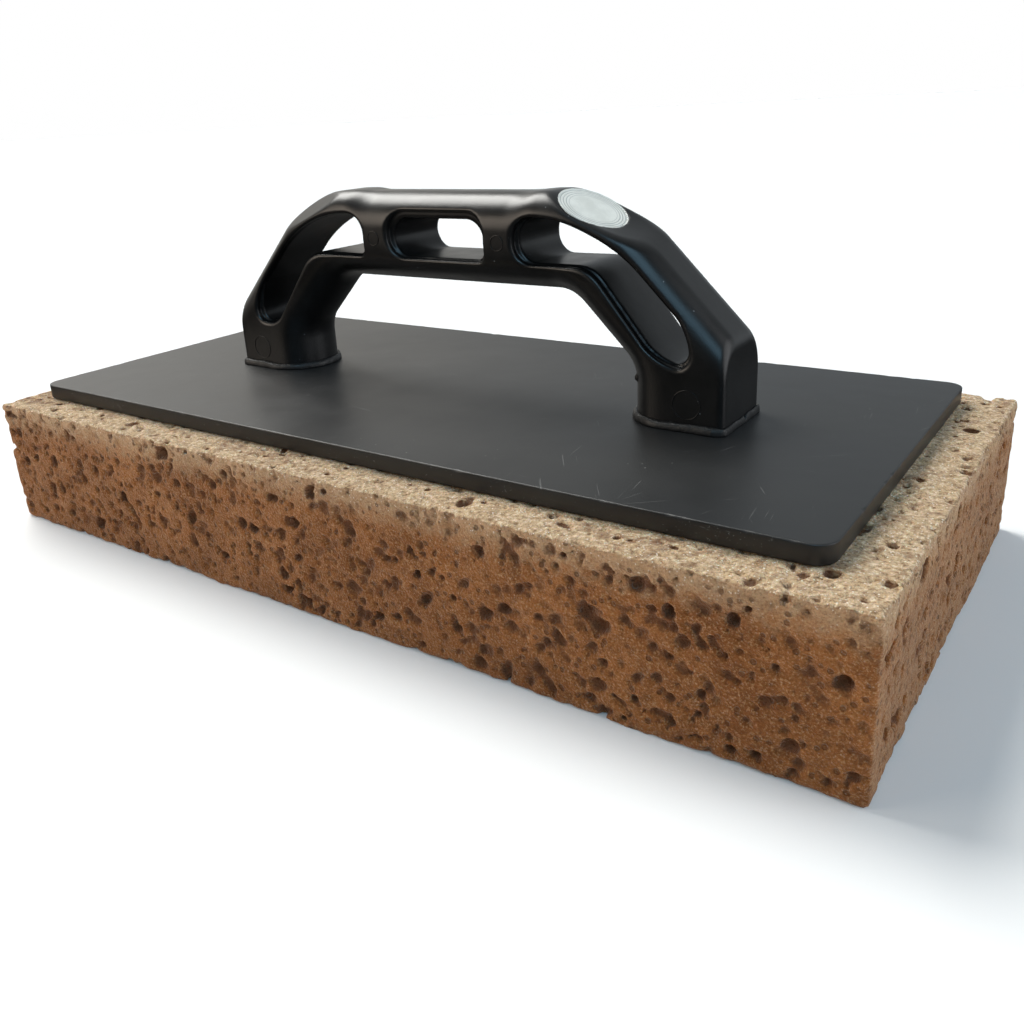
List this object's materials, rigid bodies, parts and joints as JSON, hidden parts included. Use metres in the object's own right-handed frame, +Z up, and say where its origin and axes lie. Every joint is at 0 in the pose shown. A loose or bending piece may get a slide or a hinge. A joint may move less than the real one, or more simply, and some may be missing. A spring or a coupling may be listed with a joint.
{
  "type": "sponge grout float",
  "caption": "Hand float for washing grout off tiles: an open-window bar handle welded to a flat plastic plate that is bonded to a thick porous sponge.",
  "frame": {"origin": "centre of the sponge's flat underside, the working face that lies on the tiles", "axes": "+X along the float's long side, +Y across it away from the pictured long side, +Z up through the plate towards the handle"},
  "size_m": [0.28, 0.14, 0.1028],
  "materials": {
    "sponge": "matte",
    "adhesive": "satin",
    "plate": "satin",
    "handle": "satin",
    "weld": "satin"
  },
  "bodies": {
    "root": {"sponge": "sponge", "adhesive_layer": "adhesive", "base_plate": "plate", "handle": "handle", "weld_bead_left": "weld", "weld_bead_right": "weld"}
  },
  "joints": []
}
